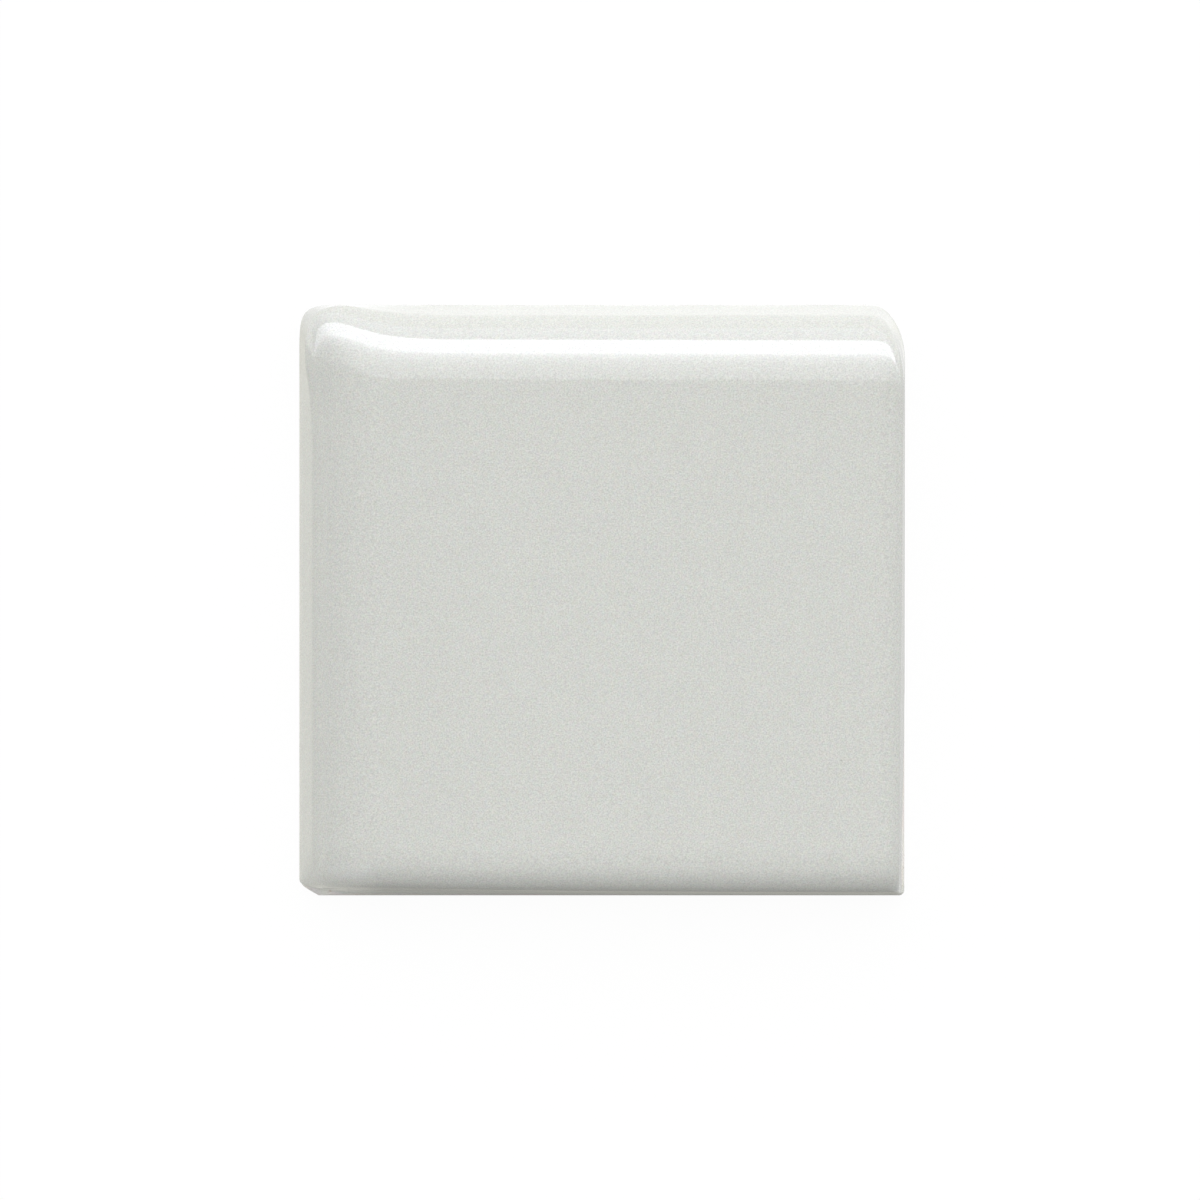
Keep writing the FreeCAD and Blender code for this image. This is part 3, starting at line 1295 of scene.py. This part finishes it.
@dataclass(frozen=True)
class SideLevels:
    """Levels of the floor off each side and corner of the tile.

    The spans in which one level goes over into another are in millimetres, from the side that they are by.
    """

    south_west: float
    south: float
    south_east: float
    west: float
    west_by_corner: float
    east: float
    north_west: float
    north: float
    north_east: float
    south_west_span: Point = (0.0, 8.0)
    south_east_span: Point = (-0.8, 0.4)
    south_span: Point = (-0.4, 1.6)
    west_by_corner_span: Point = (-8.0, -4.5)
    middle_span: Point = (-10.0, 10.0)
    north_east_span: Point = (-7.5, -3.0)
    north_west_span: Point = (0.0, 13.0)
    north_span: Point = (-2.8, 0.2)

    def wire(self, wires: Wiring, east: Feed, north: Feed, reach: Point) -> bpy.types.NodeSocket:
        """Level at a place on the floor.

        Args:
            wires: Where the nodes go.
            east: How far east of the tile's middle the place is, in millimetres.
            north: How far north of it the place is.
            reach: Half the tile's width and half its depth.

        Returns:
            The level, which goes smoothly from side to side.
        """
        half_x, half_y = reach
        before = wires.ease(east, *about(-half_x, self.south_west_span), self.south_west, self.south)
        past = wires.ease(east, *about(half_x, self.south_east_span))
        before = wires.pick(past, before, self.south_east)
        left = wires.ease(north, *about(half_y, self.west_by_corner_span), self.west, self.west_by_corner)
        right = wires.ease(north, *about(half_y, self.north_east_span), self.east, self.north_east)
        beside = wires.pick(wires.ease(east, *self.middle_span), left, right)
        beyond = wires.ease(east, *about(-half_x, self.north_west_span), self.north_west, self.north)
        level = wires.pick(wires.ease(north, *about(-half_y, self.south_span)), before, beside)
        return wires.pick(wires.ease(north, *about(half_y, self.north_span)), level, beyond)


@dataclass
class Studio:
    """Camera straight above, a white floor and a soft dome that is brighter to the north.

    Lengths are in millimetres. A long tube of light hangs in the north, level and parallel to X, and a soft
    glow stands in the south-west. They show in reflections only, as the floor's glow does, and the dome's
    slopes stand for the light that they give.
    """

    reach: Point
    face_height: float
    frame_width: float = 100.45
    lens: float = 800.0
    sensor: float = 36.0
    aim: Point = (-0.188, 0.037)
    # Nearest and farthest distance that the camera sees.
    clip: Point = (10.0, 20000.0)
    floor_half: float = 3000.0
    floor_drop: float = 0.05
    floor_colour: Colour = (0.9, 0.9, 0.9)
    ambient: float = 0.718
    northward: float = 0.525
    upward: float = 0.419
    eastward: float = 0.075
    least: float = 0.05
    surround: float = 0.15
    tube_peak: float = 8.0
    # Levels of the tube and its surroundings by angle from straight up, in degrees.
    tube_levels: tuple[Point, ...] = (
        (0.0, 0.15), (8.3, 0.15), (9.8, 1.35), (12.5, 1.4), (30.7, 2.1), (35.9, 2.8), (40.4, 3.6),
        (44.0, 4.6), (46.5, 6.0), (48.0, 8.0), (68.8, 8.0), (70.0, 2.5), (90.0, 2.8),
    )
    # Parts of a direction, east or north, between which the tube fades out and the soft glow fades in.
    tube_end: Point = (0.42, 1.38)
    tube_colour: Colour = (0.96, 0.965, 1.07)
    south_west_glow: float = 1.0
    glow_west: Point = (-0.4, -0.05)
    glow_south: Point = (-0.45, -0.1)
    # Painted shade: the floor's colour for bounced light, darkest to the south of the tile.
    floor_painted_shade: SideLevels = SideLevels(
        south_west=0.5, south=0.08, south_east=0.5, west=0.9, west_by_corner=0.9, east=0.8,
        north_west=0.8, north=0.85, north_east=0.8,
    )
    near_glow: SideLevels = SideLevels(
        south_west=0.98, south=0.41, south_east=0.85, west=0.95, west_by_corner=0.78, east=0.72,
        north_west=1.05, north=1.45, north_east=1.05,
    )
    far_glow: SideLevels = SideLevels(
        south_west=0.9, south=0.24, south_east=0.4, west=0.48, west_by_corner=0.62, east=0.65,
        north_west=2.2, north=2.05, north_east=0.9,
    )
    near_reach: float = 8.0
    side_glow: Colour = (1.039, 1.032, 0.929)
    white_from_east: Point = (-1.0, 1.0)
    seen_white: float = 1.015
    seen_shadow: float = 0.08

    def camera(self) -> bpy.types.Object:
        """Hangs the camera over the tile, with north at the top of the picture.

        Returns:
            The camera.
        """
        data = bpy.data.cameras.new("camera")
        data.lens, data.sensor_width = self.lens, self.sensor
        data.clip_start, data.clip_end = (end * MM for end in self.clip)
        distance = self.frame_width * self.lens / self.sensor
        hung = placed("camera", data)
        hung.location = Vector((*self.aim, self.face_height + distance)) * MM
        bpy.context.scene.camera = hung
        return hung

    def floor(self, hole: Sequence[Point]) -> bpy.types.Object:
        """Lays the floor.

        Args:
            hole: Outline of an opening under the tile, through which the back is seen and lit from below.

        Returns:
            The floor.
        """
        shape = bmesh.new()
        border = [(sign_x * self.floor_half, sign_y * self.floor_half) for sign_x, sign_y in QUARTERS]
        edges = []
        for outline in (border, hole):
            verts = [shape.verts.new(Vector((x, y, -self.floor_drop)) * MM) for x, y in outline]
            edges += [shape.edges.new((verts[i - 1], verts[i])) for i in range(len(verts))]
        fill_level(shape, edges, 1)
        mesh = as_mesh("floor", shape)
        mesh.materials.append(self._floor_material())
        laid = placed("floor", mesh)
        return laid

    def _floor_material(self) -> bpy.types.Material:
        """Floor that the camera sees white with a faint shadow, that reflections see glow by its sides, and
        whose colour for bounced light is painted shade, darkest to the south.

        Returns:
            The material. It is clear from below.
        """
        made = bpy.data.materials.new("white_floor")
        made.use_nodes = True
        made.node_tree.nodes.clear()
        wires = Wiring(made.node_tree)
        half_x, half_y = self.reach
        east, north, _ = wires.split(wires.scaled(wires.place(), 1 / MM))
        tone, near, far = (
            levels.wire(wires, east, north, self.reach)
            for levels in (self.floor_painted_shade, self.near_glow, self.far_glow)
        )
        # Painted shade: diffuse floor for bounced light, darker by the south side.
        painted_shade_diffuse = wires.node("ShaderNodeBsdfDiffuse", {"Color": tone}).outputs[0]
        out_x = wires.math("SUBTRACT", wires.math("ABSOLUTE", east), half_x)
        out_y = wires.math("SUBTRACT", wires.math("ABSOLUTE", north), half_y)
        away = wires.ease(wires.math("MAXIMUM", out_x, out_y), 0.0, self.near_reach)
        beyond = wires.ease(north, *about(half_y, self.near_glow.north_span))
        past = wires.ease(east, *about(half_x, self.white_from_east))
        hue = wires.tint(wires.math("MAXIMUM", beyond, past), opaque(self.side_glow), WHITE)
        glow = wires.pick(away, near, far)
        shine = wires.node("ShaderNodeEmission", {"Color": hue, "Strength": glow}).outputs[0]
        plain = wires.node("ShaderNodeBsdfDiffuse", {"Color": opaque(self.floor_colour)}).outputs[0]
        blank = wires.node("ShaderNodeEmission", {"Color": WHITE, "Strength": self.seen_white}).outputs[0]
        seen = wires.blend(self.seen_shadow, blank, plain)
        path = wires.node("ShaderNodeLightPath")
        above = wires.blend(path.outputs["Is Glossy Ray"], painted_shade_diffuse, shine)
        above = wires.blend(path.outputs["Is Camera Ray"], above, seen)
        below = wires.node("ShaderNodeNewGeometry").outputs["Backfacing"]
        clear = wires.node("ShaderNodeBsdfTransparent").outputs[0]
        wires.node("ShaderNodeOutputMaterial", {"Surface": wires.blend(below, above, clear)})
        return made

    def dome(self) -> bpy.types.World:
        """Lights the scene with the soft dome, and shows the tube and the soft glow in reflections.

        Returns:
            The world that the dome is.
        """
        world = bpy.data.worlds.new("studio")
        bpy.context.scene.world = world
        world.use_nodes = True
        world.node_tree.nodes.clear()
        wires = Wiring(world.node_tree)
        east, north, up = wires.split(wires.place("Generated"))
        lean = wires.math("MULTIPLY_ADD", north, self.northward, self.ambient)
        lean = wires.math("MULTIPLY_ADD", east, self.eastward, lean)
        soft = wires.math("MAXIMUM", wires.math("MULTIPLY_ADD", up, self.upward, lean), self.least)
        turn = wires.math("DIVIDE", wires.math("ARCTAN2", north, up), math.pi / 2)
        stops = [(angle / RIGHT_ANGLE, level / self.tube_peak) for angle, level in self.tube_levels]
        tube = wires.math("MULTIPLY", wires.ramp(turn, stops), self.tube_peak)
        beyond = wires.ease(wires.math("ABSOLUTE", east), *self.tube_end)
        shiny = wires.pick(beyond, tube, self.surround)
        west = wires.ease(east, *self.glow_west, 1.0, 0.0)
        south = wires.ease(north, *self.glow_south, 1.0, 0.0)
        shiny = wires.math("MULTIPLY_ADD", wires.math("MULTIPLY", west, south), self.south_west_glow, shiny)
        path = wires.node("ShaderNodeLightPath")
        glossy, seen = path.outputs["Is Glossy Ray"], path.outputs["Is Camera Ray"]
        strength = wires.pick(seen, wires.pick(glossy, soft, shiny), 1.0)
        hue = wires.tint(glossy, WHITE, opaque(self.tube_colour))
        glow = wires.node("ShaderNodeBackground", {"Color": hue, "Strength": strength})
        wires.node("ShaderNodeOutputWorld", {"Surface": glow.outputs[0]})
        return world


def main() -> None:
    """Builds the tile and its studio, and reports each piece."""
    logging.basicConfig(level=logging.INFO, format="%(message)s")
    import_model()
    bpy.context.scene.view_settings.view_transform = "Standard"
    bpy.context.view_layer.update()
    low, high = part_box(NODE)
    width, depth, thickness = ((high[i] - low[i]) / MM for i in range(3))
    effects = FiredEffects()
    glaze, clay = GlazeFinish().material(effects), ClayFinish().material(effects)
    keyed = KeyedBack(width, depth).build(clay)
    log.info("keyed back: %d faces", len(keyed.polygons))
    form = PressedTile(width, depth, thickness)
    tile = form.build(keyed, (glaze, clay))
    log.info("tile: %d faces, %s and %s", len(tile.data.polygons), glaze.name, clay.name)
    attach(tile, BODY)
    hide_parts(NODE)
    studio = Studio((width / 2, depth / 2), thickness)
    log.info("camera: %.2f m up", studio.camera().location.z)
    laid = studio.floor(form.foot_ring(form.back_chamfer))
    log.info("floor: %d faces", len(laid.data.polygons))
    log.info("dome: %d nodes", len(studio.dome().node_tree.nodes))


if __name__ == "__main__":
    main()
